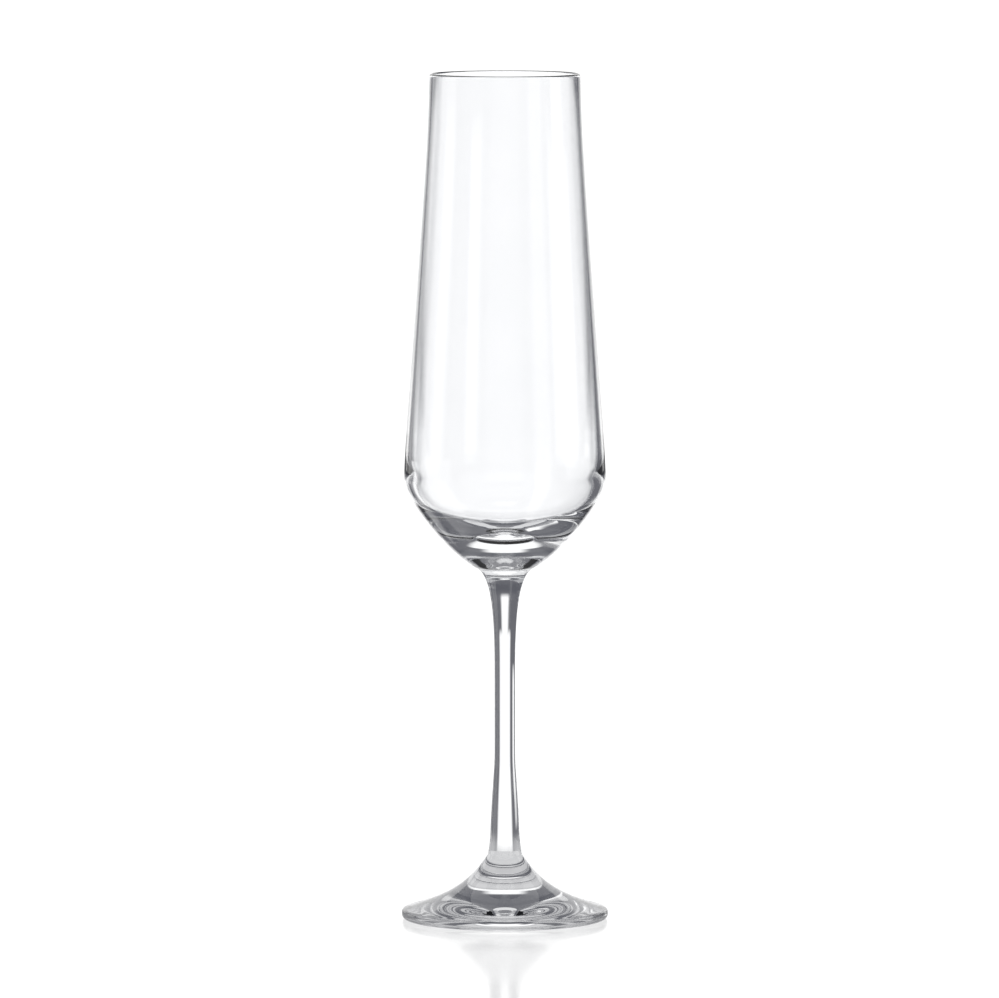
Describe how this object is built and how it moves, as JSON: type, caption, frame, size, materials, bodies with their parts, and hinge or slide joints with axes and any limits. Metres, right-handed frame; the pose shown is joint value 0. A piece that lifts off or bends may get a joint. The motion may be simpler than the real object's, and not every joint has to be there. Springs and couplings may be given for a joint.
{
  "type": "champagne flute",
  "caption": "Tall clear-glass champagne flute: a tapered bowl with a low shoulder, a slim stem and a round foot.",
  "frame": {"origin": "centre of the foot, in the plane that the flute stands on", "axes": "+Z along the flute's own axis, from the foot to the rim; X and Y are free, because the flute is turned about Z"},
  "size_m": [0.061, 0.061, 0.25],
  "materials": {
    "foot_glass": "clear fire-polished glass, pressed",
    "stem_glass": "clear fire-polished glass, drawn",
    "bowl_glass": "clear fire-polished glass, blown, with a rounded lip"
  },
  "bodies": {
    "root": {"foot": "foot_glass", "stem": "stem_glass", "bowl": "bowl_glass"}
  },
  "joints": []
}
